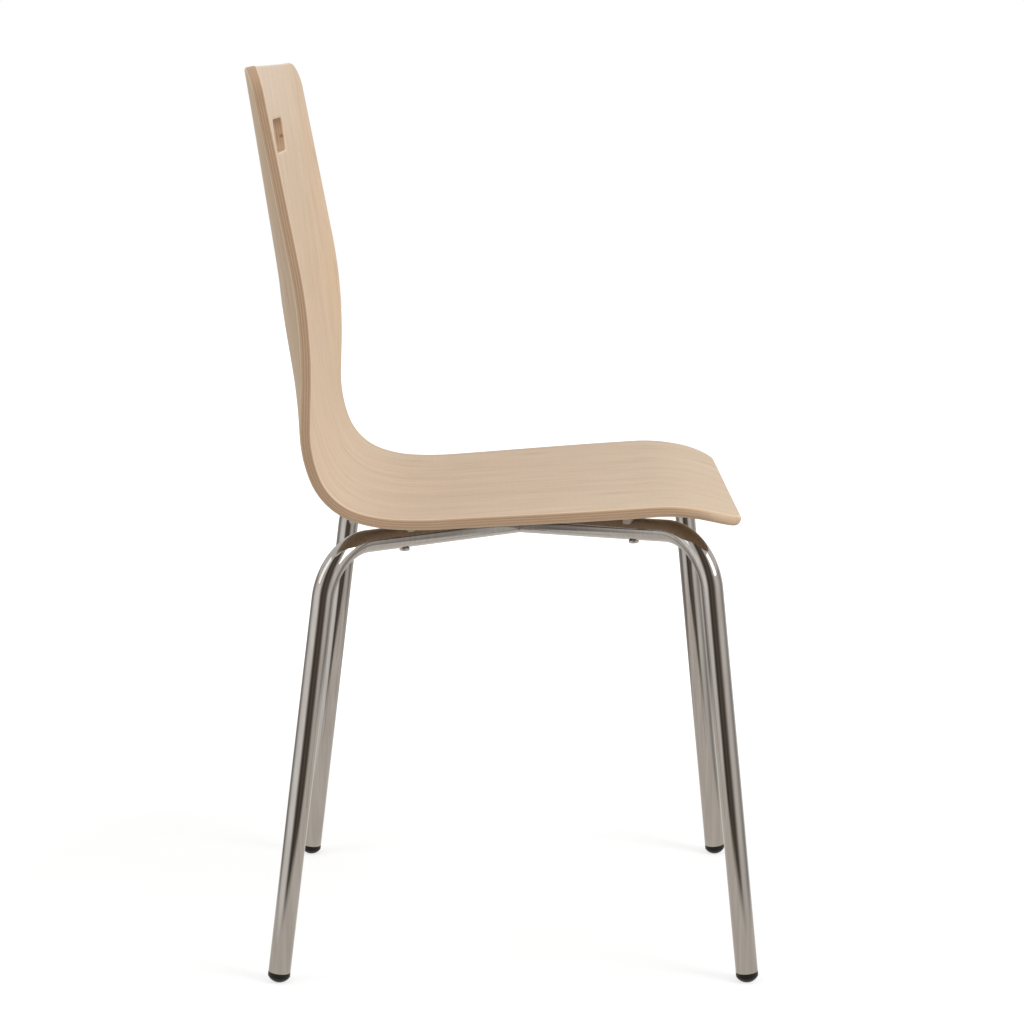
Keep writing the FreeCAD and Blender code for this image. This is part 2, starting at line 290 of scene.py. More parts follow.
@dataclass(frozen=True)
class VeneerFinish:
    """Pale beech veneer under satin lacquer, with the plies open at the edges, a painted highlight along the softened
    edge and painted shade on the outer veneer under the seat.

    The grains lie on the sheet place: x across, y along the profile, z the depth in the ply. The painted shade on the
    outer veneer under the seat has its depths as shares of the thickness, and the sanded ends count from the profile's
    end.
    """

    pale: Colour = (0.780, 0.590, 0.400, 1)
    warm: Colour = (0.680, 0.470, 0.295, 1)
    warm_ends: Ends = (0.40, 0.69)
    drift: Grain = Grain(9, 1.6, 0, 2.0)
    drift_reach: float = 30 * MM
    band: Grain = Grain(42, 3.4, 0, 4.0, 0.6)
    band_weight: float = 0.70
    line: Grain = Grain(430, 13, 0, 3.0, 0.65)
    line_weight: float = 0.40
    patches: Layer = Layer(Grain(11, 5, 0, 2.0), 0.42, 0.66, 0.6, (0.735, 0.545, 0.345, 1))
    dashes: Layer = Layer(Grain(300, 17, 0, 1.0), 0.57, 0.71, 0.48, (0.540, 0.355, 0.220, 1))
    flecks: Layer = Layer(Grain(1500, 160, 0, 0.0), 0.64, 0.74, 0.25, (0.500, 0.325, 0.200, 1))
    # Painted shade: the outer veneer under the seat turns darker and more orange, standing in for the warm shade there
    outer: Colour = (0.800, 0.480, 0.250, 1)
    underside_shade_share: float = 0.60
    underside_shade_depths: Ends = (0.90, 0.98)
    underside_shade_ends: Ends = (395 * MM, 460 * MM)
    # Painted highlight: a pale line on the softened edge just behind the face, where the lacquer catches the light
    painted_edge_highlight: Colour = (0.920, 0.715, 0.520, 1)
    edge_highlight_share: float = 0.8
    edge_highlight_depth: float = 0.55 * MM
    edge_highlight_reach: float = 0.5 * MM
    plies: int = 9
    long_grain: Colour = (0.600, 0.395, 0.245, 1)
    long_streaks: Layer = Layer(Grain(90, 60, 2600, 3.0, 0.6), 0.3, 0.7, 1.0, (0.680, 0.470, 0.295, 1))
    end_grain: Colour = (0.455, 0.285, 0.170, 1)
    end_speck: Grain = Grain(1600, 1600, 2200, 2.0, 0.7)
    speck_ends: Ends = (0.35, 0.7)
    glue: Colour = (0.300, 0.185, 0.110, 1)
    glue_reach: float = 0.09
    glue_share: float = 0.5
    void_place: tuple[float, float, float] = (50 * MM, 66 * MM, 3.2 * MM)
    void_radius: float = 2.2 * MM
    void_share: float = 0.95
    sanded_ends: Ends = (-62 * MM, -22 * MM)
    sanded_share: float = 0.75
    seam_blend: float = 0.04 * MM
    roughness: float = 0.42
    edge_roughness: float = 0.6
    line_roughness: Ends = (0.3, 0.7, -0.04, 0.05)
    lacquer: float = 0.12
    lacquer_roughness: float = 0.28
    line_height: float = 0.7
    bump_strength: float = 0.25
    bump_depth: float = 0.08 * MM

    def face_colour(self, nodes: Nodes, place: NodeSocket, bent: NodeSocket, line: NodeSocket) -> NodeSocket:
        """Colour of the veneer: bands and lines, then patches, short dashes and flecks.

        Args:
            nodes: the material's nodes.
            place: the sheet place.
            bent: the sheet place swayed sideways, which the grain follows.
            line: the noise of the fine lines.

        Returns:
            The colour.
        """
        tone = nodes.weighed(nodes.noise(bent, self.band), self.band_weight, line, self.line_weight)
        face = nodes.mix(nodes.span(tone, *self.warm_ends), self.pale, self.warm)
        for layer, where in ((self.patches, place), (self.dashes, bent), (self.flecks, bent)):
            face = nodes.laid(layer, where, face)
        return face

    def edge_colour(self, nodes: Nodes, place: NodeSocket, level: NodeSocket, speck: NodeSocket) -> NodeSocket:
        """Colour of the open plies, in turn long grain and end grain, with dark glue lines and one void.

        Args:
            nodes: the material's nodes.
            place: the sheet place.
            level: the depth, counted in plies.
            speck: the noise of the end grain.

        Returns:
            The colour.
        """
        run = nodes.add("Attribute", {"attribute_name": RUN_ATTRIBUTE}).outputs["Fac"]
        odd = nodes.math("FRACT", nodes.math("MULTIPLY", nodes.math("FLOOR", level), 0.5))
        on_end = nodes.gap(nodes.math("MULTIPLY", odd, 2.0), nodes.math("SUBTRACT", 1.0, run))
        long_tone = nodes.laid(self.long_streaks, place, self.long_grain)
        end_tone = nodes.mix(nodes.span(speck, *self.speck_ends), self.end_grain, self.long_grain)
        rim = nodes.mix(on_end, end_tone, long_tone)
        from_middle = nodes.gap(nodes.math("FRACT", level), 0.5)
        rim = nodes.mix(nodes.span(from_middle, 0.5 - self.glue_reach, 0.5, 0.0, self.glue_share), rim, self.glue)
        far = nodes.add("VectorMath", {"operation": "DISTANCE"}, in_0=place, in_1=self.void_place).outputs["Value"]
        in_void = nodes.span(far, self.void_radius / 2, self.void_radius, self.void_share, 0.0)
        return nodes.mix(in_void, rim, self.glue)

    def material(self, thickness: float, length: float) -> Material:
        """Builds the wood from the sheet place.

        Args:
            thickness: the shell's thickness, in metres.
            length: the profile's length, in metres, before whose end the sanded edge turns pale.

        Returns:
            The material.
        """
        nodes = Nodes(bpy.data.materials.new("beech_ply"))
        place = nodes.add("Attribute", {"attribute_name": PLACE_ATTRIBUTE}).outputs["Vector"]
        parts = nodes.add("SeparateXYZ", in_0=place).outputs
        along, depth = parts[1], parts[2]
        across = nodes.add("CombineXYZ", X=nodes.noise(place, self.drift)).outputs[0]
        sway = nodes.add("VectorMath", {"operation": "SCALE"}, in_0=across, Scale=self.drift_reach).outputs[0]
        bent = nodes.add("VectorMath", {"operation": "ADD"}, in_0=place, in_1=sway).outputs[0]
        line = nodes.noise(bent, self.line)
        face = self.face_colour(nodes, place, bent, line)
        # Painted shade: the outer face under the seat is mixed towards a darker, more orange colour
        outside = nodes.span(depth, *(share * thickness for share in self.underside_shade_depths), 0.0, self.underside_shade_share)
        below = nodes.span(along, *self.underside_shade_ends)
        face = nodes.mix(nodes.math("MULTIPLY", outside, below), face, self.outer)

        speck = nodes.noise(place, self.end_speck)
        rim = self.edge_colour(nodes, place, nodes.math("MULTIPLY", depth, self.plies / thickness), speck)
        sanded = nodes.span(along, *(length + end for end in self.sanded_ends))
        rim = nodes.mix(nodes.math("MULTIPLY", sanded, self.sanded_share), rim, face)

        from_middle = nodes.gap(depth, thickness / 2)
        first_seam = thickness / 2 - thickness / self.plies
        on_face = nodes.span(from_middle, first_seam - self.seam_blend, first_seam + self.seam_blend)
        # Painted highlight: pale colour laid on the softened edge just behind the face, standing in for light caught
        # by the lacquer
        from_edge_highlight = nodes.gap(from_middle, thickness / 2 - self.edge_highlight_depth)
        face = nodes.mix(nodes.span(from_edge_highlight, 0.0, self.edge_highlight_reach, self.edge_highlight_share, 0.0), face, self.painted_edge_highlight)
        rough = nodes.span(on_face, 0, 1, self.edge_roughness, self.roughness)
        rough = nodes.math("ADD", rough, nodes.span(line, *self.line_roughness))
        nodes.surface(Base_Color=nodes.mix(on_face, rim, face), Roughness=rough)
        nodes.surface(Coat_Weight=self.lacquer, Coat_Roughness=self.lacquer_roughness)
        height = nodes.weighed(line, self.line_height, speck, nodes.math("SUBTRACT", 1.0, on_face))
        nodes.bump(height, self.bump_strength, self.bump_depth)
        return nodes.owner


@dataclass(frozen=True)
class ChromeFinish:
    """Polished chrome plate with faint wiping marks."""

    tint: Colour = (0.405, 0.378, 0.352, 1)
    worn_tint: Colour = (0.338, 0.314, 0.290, 1)
    roughness: float = 0.045
    marked_roughness: float = 0.11
    cloud: Grain = Grain(14, 14, 5, 3.0, 0.55)
    wipe: Grain = Grain(900, 900, 30, 2.0)
    streak: Grain = Grain(260, 260, 5, 2.0, 0.6)
    wipe_weight: float = 0.35
    streak_weight: float = 0.6
    mark_ends: Ends = (0.38, 0.66)
    tone_ends: Ends = (0.38, 0.64)
    bump_strength: float = 0.02
    bump_depth: float = 0.02 * MM

    def material(self) -> Material:
        """Builds the metal on Object coordinates and returns it."""
        nodes = Nodes(bpy.data.materials.new("chrome_plate"))
        place = nodes.place()
        cloud, wipe, streak = (nodes.noise(place, grain) for grain in (self.cloud, self.wipe, self.streak))
        marks = nodes.weighed(wipe, self.wipe_weight, cloud, 1 - self.wipe_weight)
        tone = nodes.weighed(streak, self.streak_weight, cloud, 1 - self.streak_weight)
        colour = nodes.mix(nodes.span(tone, *self.tone_ends), self.tint, self.worn_tint)
        rough = nodes.span(marks, *self.mark_ends, self.roughness, self.marked_roughness)
        nodes.surface(Base_Color=colour, Metallic=1.0, Roughness=rough)
        nodes.bump(wipe, self.bump_strength, self.bump_depth)
        return nodes.owner


@dataclass(frozen=True)
class MouldedFinish:
    """Moulded nylon with a fine spark-eroded skin."""

    name: str
    colour: Colour
    shade: Colour
    roughness: float
    specular: float = 0.5
    cloud: Grain = Grain(120, 120, 120, 3.0)
    cloud_ends: Ends = (0.3, 0.7)
    skin: Grain = Grain(2600, 2600, 2600, 2.0, 0.6)
    scuff: Grain = Grain(340, 340, 340, 4.0, 0.7)
    scuff_ends: Ends = (0.5, 0.75)
    scuff_roughness: float = 0.12
    bump_strength: float = 0.3
    bump_depth: float = 0.04 * MM

    def material(self) -> Material:
        """Builds the plastic on Object coordinates and returns it."""
        nodes = Nodes(bpy.data.materials.new(self.name))
        place = nodes.place()
        colour = nodes.mix(nodes.span(nodes.noise(place, self.cloud), *self.cloud_ends), self.colour, self.shade)
        scuff = nodes.span(nodes.noise(place, self.scuff), *self.scuff_ends)
        rough = nodes.math("ADD", nodes.math("MULTIPLY", scuff, self.scuff_roughness), self.roughness)
        nodes.surface(Base_Color=colour, Roughness=rough, Specular_IOR_Level=self.specular)
        nodes.bump(nodes.noise(place, self.skin), self.bump_strength, self.bump_depth)
        return nodes.owner


@dataclass(frozen=True)
class TurnedMetalFinish:
    """Plated or plain machined metal with fine turning lines and stains."""

    name: str
    colour: Colour
    stain: Colour
    roughness: float
    stains: Grain = Grain(420, 420, 420, 4.0, 0.6)
    stain_ends: Ends = (0.42, 0.72)
    lathe: Grain = Grain(300, 300, 5200, 2.0, 0.6)
    lathe_roughness: Ends = (0.3, 0.7, -0.05, 0.08)
    bump_strength: float = 0.15
    bump_depth: float = 0.03 * MM

    def material(self) -> Material:
        """Builds the metal on Object coordinates and returns it."""
        nodes = Nodes(bpy.data.materials.new(self.name))
        place = nodes.place()
        lathe = nodes.noise(place, self.lathe)
        colour = nodes.mix(nodes.span(nodes.noise(place, self.stains), *self.stain_ends), self.colour, self.stain)
        rough = nodes.math("ADD", nodes.span(lathe, *self.lathe_roughness), self.roughness)
        nodes.surface(Base_Color=colour, Metallic=1.0, Roughness=rough)
        nodes.bump(lathe, self.bump_strength, self.bump_depth)
        return nodes.owner


# The plywood shell


@dataclass(frozen=True)
class Stretch:
    """One straight or arc of the side profile: an arc has a radius, and turns anticlockwise by its turn."""

    length: float = 0.0
    radius: float = 0.0
    turn: float = 0.0

    @property
    def run(self) -> float:
        """Length along the profile, in metres."""
        return self.length or self.radius * math.radians(abs(self.turn))

    def step(self, heading: float, part: Array) -> Array:
        """How far the profile moves forward and up over the first part of this stretch.

        The chord of an arc is twice the radius times the sine of half the turn so far, and it points
        half that turn away from the heading. A straight keeps the heading.

        Args:
            heading: direction at the start, in degrees, where 0 is forward and 90 is up.
            part: lengths run inside this stretch.

        Returns:
            Rows of forward and up, in metres.
        """
        swing = np.radians(self.turn) * part / self.run
        chord = 2 * self.radius * np.sin(np.abs(swing) / 2) if self.radius else part
        angle = math.radians(heading) + swing / 2
        return np.stack([np.cos(angle) * chord, np.sin(angle) * chord], axis=-1)


@dataclass
class PlywoodShell:
    """Seat and back in one bent sheet, with a hollow back, rounded corners and a hand slot."""

    seat_height: float = 421.4 * MM
    seat_rear: float = -54.9 * MM
    seat_rise: float = 3.8
    thickness: float = 10 * MM
    back_half_width: float = 207 * MM
    waist_half_width: float = 186.8 * MM
    seat_half_width: float = 196.5 * MM
    back_end_share: float = 0.40
    waist_share: float = 0.60
    seat_start_share: float = 0.86
    top_corner: float = 26 * MM
    front_corner: float = 36 * MM
    softening: float = 2 * MM
    front_softening: float = 4.4 * MM
    front_softening_run: float = 60 * MM
    dish_top: float = 10.4 * MM
    dish_gain: float = 9.9 * MM
    dish_power: int = 5
    dish_fade_start: float = 195 * MM
    dish_fade: float = 168 * MM
    slot_middle: float = 64 * MM
    slot_half_length: float = 50 * MM
    slot_half_height: float = 15 * MM
    slot_corner: float = 9 * MM
    slot_margin: float = 17 * MM
    slot_columns: int = 44
    slot_rows: int = 22
    slot_rings: int = 8
    rows_above_slot: int = 1
    corner_rows: int = 12
    side_columns: int = 26
    row_step: float = 4 * MM
    rounding_steps: int = 5
    edge_steps: int = 9
    stretches: tuple[Stretch, ...] = (
        Stretch(length=172.4 * MM),
        Stretch(radius=484 * MM, turn=-13.2),
        Stretch(length=28 * MM),
        Stretch(radius=117 * MM, turn=22.4),
        Stretch(radius=54 * MM, turn=51.6),
        Stretch(radius=120 * MM, turn=15.4),
        Stretch(radius=343 * MM, turn=6.7),
        Stretch(length=185 * MM),
        Stretch(radius=170 * MM, turn=-27.6),
    )
    finish: VeneerFinish = VeneerFinish()

    @property
    def length(self) -> float:
        """Length of the sitter's face along the profile, in metres."""
        return sum(stretch.run for stretch in self.stretches)

    def profile(self, along: Array) -> tuple[Array, Array]:
        """The side profile: the stretches' moves up to a distance, placed so that the seat starts where it should.

        Args:
            along: distances along the sitter's face from the top edge.

        Returns:
            Rows of forward and up, and the headings in radians.
        """
        first = self.seat_rise - sum(stretch.turn for stretch in self.stretches[:-2])
        seat_start = sum(stretch.run for stretch in self.stretches[:-2])
        anchor = np.array([self.seat_rear, self.seat_height])
        reached = self.moves(np.array([seat_start]), first)[0][0]
        total, turned = self.moves(along, first)
        return total + anchor - reached, turned

    def moves(self, along: Array, heading: float) -> tuple[Array, Array]:
        """Sums of the stretches' moves and turns up to each distance, for a heading at the top."""
        total, turned = np.zeros(along.shape + (2,)), np.full(along.shape, math.radians(heading))
        start = 0.0
        for stretch in self.stretches:
            part = np.clip(along - start, 0, stretch.run)
            total = total + stretch.step(heading, part)
            turned = turned + math.radians(stretch.turn) * part / stretch.run
            heading += stretch.turn
            start += stretch.run
        return total, turned

    def half_width(self, along: Array) -> Array:
        """Half width at a distance: the back's, eased to the waist's, eased to the seat's."""
        share = along / self.length
        narrowing = eased((share - self.back_end_share) / (self.waist_share - self.back_end_share))
        widening = eased((share - self.waist_share) / (self.seat_start_share - self.waist_share))
        upper = self.back_half_width + (self.waist_half_width - self.back_half_width) * narrowing
        lower = self.waist_half_width + (self.seat_half_width - self.waist_half_width) * widening
        return np.where(share < self.waist_share, upper, lower)

    def hollow(self, across: Array, along: Array) -> Array:
        """How far the face lies back, at places across and along.

        A depth that grows down the back and fades before the bend, times one minus a power of the
        place across as a share of the half width.
        """
        depth = self.dish_top + self.dish_gain * along / self.dish_fade_start
        depth = depth * eased(1 - (along - self.dish_fade_start) / self.dish_fade)
        return depth * (1 - np.abs(across / self.half_width(along)) ** self.dish_power)

    def placed(self, sheet: Array) -> Array:
        """Carries places on the flat sheet into the bent shell.

        A place goes to the profile's point at its distance along, then back along the profile's
        normal by the hollow plus its depth, and sideways by its place across.

        Args:
            sheet: rows of across, along and depth, in metres.

        Returns:
            Rows of x, y, z in the row frame.
        """
        across, along, depth = sheet[..., 0], sheet[..., 1], sheet[..., 2]
        point, heading = self.profile(along)
        back = self.hollow(across, along) + depth
        forward = point[..., 0] + np.sin(heading) * back
        up = point[..., 1] - np.cos(heading) * back
        return np.stack([across, -forward, up], axis=-1)

    def edge_radius(self, along: Array) -> Array:
        """Radius of the softened edge: grows smoothly before the front corners, where hands and legs rub."""
        start = self.length - self.front_corner - self.front_softening_run
        share = eased((along - start) / self.front_softening_run)
        return self.softening + (self.front_softening - self.softening) * share

    def inset_reach(self, along: Array) -> Array:
        """Half width of the flat face inside the softened edge, following the four rounded corners."""
        edge = self.edge_radius(along)
        inner = self.half_width(along) - edge
        for radius, distance in ((self.top_corner, along), (self.front_corner, self.length - along)):
            short = np.clip(radius - distance, 0, None)
            curve = np.sqrt(np.clip((radius - edge) ** 2 - short**2, 0, None))
            inner = np.where(short > 0, self.half_width(along) - radius + curve, inner)
        return inner

    def outline_normal(self, across: Array, along: Array) -> Array:
        """Direction out of the sheet, in the sheet's plane, at a place on its outline.

        At a corner it points away from the corner's centre, on the top and front edges straight out,
        and on the sides square to the slowly changing width.

        Args:
            across: places across, in metres.
            along: distances along the profile, in metres.

        Returns:
            Rows of across and along.
        """
        small = self.softening / 4
        slope = (self.half_width(along + small) - self.half_width(along - small)) / (2 * small)
        side = np.sign(across)
        normal = np.stack([side, -slope], axis=-1)
        ends = ((self.top_corner, 0.0, 1.0), (self.front_corner, self.length, -1.0))
        for radius, edge, sense in ends:
            inner = self.half_width(along) - radius
            centre = edge + sense * radius
            near = (along - centre) * sense < 0
            out = np.stack([side * np.clip(np.abs(across) - inner, 0, None), along - centre], axis=-1)
            normal = np.where(near[..., None], out, normal)
        return unit(normal)

    def rows(self) -> Array:
        """Distances of the grid's rows: crowded by a cosine in the corners, even between them."""
        turn = np.linspace(0, np.pi / 2, self.corner_rows + 1)
        top = self.top_corner - (self.top_corner - self.softening) * np.cos(turn)
        front = self.length - self.front_corner + (self.front_corner - self.front_softening) * np.sin(turn)
        slot_top, slot_bottom = self.slot_span()
        above = np.linspace(top[-1], slot_top, self.rows_above_slot + 2)[1:-1]
        beside = np.linspace(slot_top, slot_bottom, self.slot_rows + 1)
        count = round((front[0] - slot_bottom) / self.row_step)
        below = np.linspace(slot_bottom, front[0], count)[1:-1]
        return np.concatenate([top, above, beside, below, front])

    @property
    def block_half_length(self) -> float:
        """Half the length of the rectangular block round the hand slot, in metres."""
        return self.slot_half_length + self.slot_margin

    def slot_span(self) -> tuple[float, float]:
        """First and last row of the block of rows round the hand slot."""
        reach = self.slot_half_height + self.slot_margin
        return self.slot_middle - reach, self.slot_middle + reach

    def columns(self) -> Array:
        """Shares of the half width at which the grid's columns run, with the slot's block in the middle."""
        block = self.block_half_length / (self.back_half_width - self.softening)
        side = np.linspace(block, 1, self.side_columns + 1)[1:]
        return np.concatenate([-side[::-1], np.linspace(-block, block, self.slot_columns + 1), side])

    def slot_ring(self, share: Array, side: int) -> tuple[Array, Array]:
        """Points on one quarter of the flat face's edge round the slot, from one corner's middle to the next.

        The edge lies outside the slot's wall by the softening. Along a side of half length A with
        corner radius R, the quarter runs half an arc, a straight and half an arc. The place along is
        A - R to each side plus R times the sine of the angle turned, and the drop from the side is R
        times one minus its cosine.

        Args:
            share: shares of the quarter's length.
            side: 0 to 3, for the side towards the top, the sitter's left, the seat, and the right.

        Returns:
            Rows of across and along, and the directions out of the slot's middle.
        """
        halves = (self.slot_half_length + self.softening, self.slot_half_height + self.softening)
        half, reach = halves if side % 2 == 0 else halves[::-1]
        radius = self.slot_corner + self.softening
        arc = radius * np.pi / 4
        straight = 2 * (half - radius)
        run = share * (2 * arc + straight)
        before = (arc - np.clip(run, 0, arc)) / radius
        after = np.clip(run - arc - straight, 0, arc) / radius
        place = np.clip(run - arc, 0, straight) - straight / 2 + radius * (np.sin(after) - np.sin(before))
        height = reach - radius * (2 - np.cos(before) - np.cos(after))
        angle = after - before
        way = np.array([[1, 0], [0, 1], [-1, 0], [0, -1]])[side]
        out = np.array([[0, -1], [1, 0], [0, 1], [-1, 0]])[side]
        middle = np.array([0, self.slot_middle])
        ring = middle + place[:, None] * way + height[:, None] * out
        return ring, np.sin(angle)[:, None] * way + np.cos(angle)[:, None] * out

    def block_ring(self, share: Array, side: int) -> Array:
        """Points on one side of the rectangular block round the slot, at shares of that side."""
        (top, bottom), half = self.slot_span(), self.block_half_length
        corners = np.array([[-half, top], [half, top], [half, bottom], [-half, bottom]])
        start, end = corners[side], corners[(side + 1) % 4]
        return start + share[:, None] * (end - start)

    def slot_outlines(self) -> tuple[Array, Array, Array]:
        """The block's outline, the slot's, and the directions out of the slot's middle, point by point."""
        parts = []
        for side in range(4):
            count = self.slot_columns if side % 2 == 0 else self.slot_rows
            share = np.arange(count) / count
            parts.append((self.block_ring(share, side), *self.slot_ring(share, side)))
        block, ring, out = (np.concatenate(part) for part in zip(*parts))
        return block, ring, out

    def rim(self, outline: Array, normal: Array, radius: Array) -> tuple[Array, Array]:
        """The softened edge: carries the edge's profile round an outline.

        The profile is a quarter circle from the front face, a straight through the ply, and a
        quarter circle to the outer face. At the angle a of a quarter circle it stands out by the
        radius times the sine of a, and deep by the radius times one minus its cosine.

        Args:
            outline: rows of across and along, on the edge of the flat face.
            normal: rows of the direction out of the sheet.
            radius: the edge's radius at each point of the outline.

        Returns:
            A grid of sheet places, one row for each point of the profile, and its side share.
        """
        turn = np.linspace(0, np.pi / 2, self.rounding_steps + 1)[:, None]
        share = np.linspace(0, 1, self.edge_steps + 1)[1:-1, None]
        out = radius * np.sin(turn)
        deep = radius * (1 - np.cos(turn))
        straight = radius + (self.thickness - 2 * radius) * share
        out = np.concatenate([out, radius * np.ones_like(share), out[::-1]])
        deep = np.concatenate([deep, straight, self.thickness - deep[::-1]])
        flat = outline[None] + out[..., None] * normal[None]
        side = np.broadcast_to(np.abs(normal[None, :, 0]), out.shape)
        return np.concatenate([flat, deep[..., None]], axis=-1), side

    def face_grids(self, block: Array, slot: Array) -> tuple[Array, Indices, Array, Indices]:
        """The flat face as a grid with the slot's block left out, and a ring grid that fills the block.

        Args:
            block: the block's outline.
            slot: the slot's outline, with as many points.

        Returns:
            The main grid's places and quads, and the ring grid's places and quads.
        """
        rows, columns = self.rows(), self.columns()
        across = self.inset_reach(rows)[:, None] * columns[None]
        along = np.broadcast_to(rows[:, None], across.shape)
        main = np.stack([across, along], axis=-1)
        quads = grid_quads(*across.shape, around=False)
        top, bottom = self.slot_span()
        cell = main.reshape(-1, 2)[quads].mean(axis=1)
        inside = (np.abs(cell[:, 0]) < self.block_half_length) & (cell[:, 1] > top) & (cell[:, 1] < bottom)
        blend = np.linspace(0, 1, self.slot_rings + 1)[:, None, None]
        ring = block[None] * (1 - blend) + slot[None] * blend
        return main, quads[~inside], ring, grid_quads(*ring.shape[:2], around=True)

    def build(self) -> Object:
        """Joins the two faces, the outer rim and the slot's rim into one closed shell.

        Returns:
            The shell, dressed and riding on the root body.
        """
        block, slot, slot_out = self.slot_outlines()
        main, main_quads, ring, ring_quads = self.face_grids(block, slot)
        edge = np.concatenate([main[0], main[1:, -1], main[-1, -2::-1], main[-2:0:-1, 0]])
        edge_out = self.outline_normal(edge[:, 0], edge[:, 1])
        sheets, quads, sides, start = [], [], [], 0
        for flat, faces in ((main, main_quads), (ring, ring_quads)):
            for depth in (0.0, self.thickness):
                places = np.concatenate([flat, np.full(flat.shape[:2] + (1,), depth)], axis=-1)
                sheets.append(places.reshape(-1, 3))
                sides.append(np.ones(len(sheets[-1])))
                quads.append(faces + start)
                start += len(sheets[-1])
        slot_radius = np.full(len(slot), self.softening)
        rims = ((edge, edge_out, self.edge_radius(edge[:, 1])), (slot, -slot_out, slot_radius))
        for outline, normal, radius in rims:
            places, side = self.rim(outline, normal, radius)
            sheets.append(places.reshape(-1, 3))
            sides.append(side.ravel())
            quads.append(grid_quads(*places.shape[:2], around=True) + start)
            start += len(sheets[-1])
        sheet = np.concatenate(sheets)
        values = {PLACE_ATTRIBUTE: sheet, RUN_ATTRIBUTE: np.concatenate(sides)}
        piece = mesh_piece("plywood_shell", self.placed(sheet), np.concatenate(quads), values)
        piece.data.materials.append(self.finish.material(self.thickness, self.length))
        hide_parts("seat_shell")
        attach(piece, ROOT_BODY)
        return piece


# The tube frame


@dataclass
class TubeFrame:
    """Four bent tubes, each a splayed leg and an arm, mitred together under the seat."""

    radius: float = 10 * MM
    wall: float = 1.8 * MM
    foot_side: float = 193 * MM
    front_foot: float = -217.5 * MM
    rear_foot: float = 204.5 * MM
    knee_side: float = 182 * MM
    front_knee: float = -176.5 * MM
    rear_knee: float = 155 * MM
    hub_place: float = -12.5 * MM
    hub_height: float = 385 * MM
    front_rise: float = 22.5 * MM
    rear_rise: float = 11 * MM
    bend_radius: float = 50 * MM
    start_height: float = 9.5 * MM
    mitre_gap: float = 0.1 * MM
    end_break: float = 0.45 * MM
    segments: int = 96
    bend_steps: int = 32
    leg_steps: int = 12
    sharp_angle: float = 35.0

    def points(self, corner: Corner) -> tuple[Array, Array, Array]:
        """Foot, knee and hub points on the axis of one tube."""
        foot_place = self.front_foot if corner.in_front else self.rear_foot
        knee_place = self.front_knee if corner.in_front else self.rear_knee
        rise = self.front_rise if corner.in_front else self.rear_rise
        foot = np.array([corner.side * self.foot_side, foot_place, 0.0])
        knee = np.array([corner.side * self.knee_side, knee_place, self.hub_height + rise])
        return foot, knee, np.array([0.0, self.hub_place, self.hub_height])

    def axis(self, corner: Corner) -> tuple[Array, Array]:
        """Axis of a tube from its foot to the end of its bend, and the unit tangents there.

        The bend is an arc in the plane of leg and arm: its centre lies on their bisector, at the
        bend radius divided by the sine of half the angle between them.

        Args:
            corner: which leg.

        Returns:
            Rows of points and rows of tangents.
        """
        foot, knee, hub = self.points(corner)
        down, inwards = unit(foot - knee), unit(hub - knee)
        half = math.acos(float(down @ inwards)) / 2
        centre = knee + unit(down + inwards) * self.bend_radius / math.sin(half)
        start = foot - down * self.start_height
        leg_end = knee + down * self.bend_radius / math.tan(half)
        leg = start + np.linspace(0, 1, self.leg_steps + 1)[:-1, None] * (leg_end - start)
        spoke = unit(leg_end - centre)
        swing = np.linspace(0, np.pi - 2 * half, self.bend_steps + 1)[:, None]
        bend = centre + self.bend_radius * (np.cos(swing) * spoke - np.sin(swing) * down)
        turning = -np.sin(swing) * spoke - np.cos(swing) * down
        points = np.concatenate([leg, bend])
        tangents = np.concatenate([np.broadcast_to(-down, leg.shape), turning])
        return points, tangents

    def wall_grid(self, corner: Corner, radius: float, shorter: float) -> Array:
        """Rings of points round the axis, with the last ring on the mitre planes.

        Each point lies at the radius from the axis, at an angle measured from the upright plane
        through the arm. The last ring runs each point along the arm until it meets the first of
        the two upright planes of its corner.

        Args:
            corner: which leg.
            radius: distance from the axis.
            shorter: how far before the mitre planes the last ring stops.

        Returns:
            A grid with one row for each ring.
        """
        foot, knee, hub = self.points(corner)
        points, tangents = self.axis(corner)
        inwards = unit(hub - knee)
        binormal = unit(np.cross(unit(foot - knee), inwards))
        normals = np.cross(binormal, tangents)
        upright = unit(np.array([0.0, 0.0, 1.0]) - inwards * inwards[2])
        twist = math.atan2(float(upright @ binormal), float(upright @ normals[-1]))
        angle = twist + np.linspace(0, 2 * np.pi, self.segments, endpoint=False)
        spokes = np.cos(angle)[None, :, None] * normals[:, None] + np.sin(angle)[None, :, None] * binormal
        rings = points[:, None] + radius * spokes
        last = rings[-1]
        planes = np.array([corner.side, -1.0 if corner.in_front else 1.0]) * (self.mitre_gap / 2)
        gaps = planes + np.array([0.0, self.hub_place]) - last[:, :2]
        reach = np.min(gaps / inwards[:2], axis=1) - shorter
        end = last + reach[:, None] * inwards
        return np.concatenate([rings, end[None]])

    def build(self, corner: Corner, finish: Material) -> Object:
        """One tube: the outer wall, the bevelled mitre end, the bore and the foot end, as one closed skin.

        Args:
            corner: which leg.
            finish: its material.

        Returns:
            The tube, dressed and riding on the root body.
        """
        outer = self.wall_grid(corner, self.radius, self.end_break)
        lip = self.wall_grid(corner, self.radius - self.end_break, 0.0)[-1:]
        bore = self.wall_grid(corner, self.radius - self.wall, 0.0)
        skin = np.concatenate([outer, lip, bore[::-1], outer[:1]])
        quads = grid_quads(*skin.shape[:2], around=True)
        name = "chromed_leg_" + corner.tag
        piece = mesh_piece(name, skin.reshape(-1, 3), quads)
        piece.data.set_sharp_from_angle(angle=math.radians(self.sharp_angle))
        piece.data.materials.append(finish)
        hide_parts("leg_tube_" + corner.tag)
        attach(piece, ROOT_BODY)
        return piece


# The foot glides


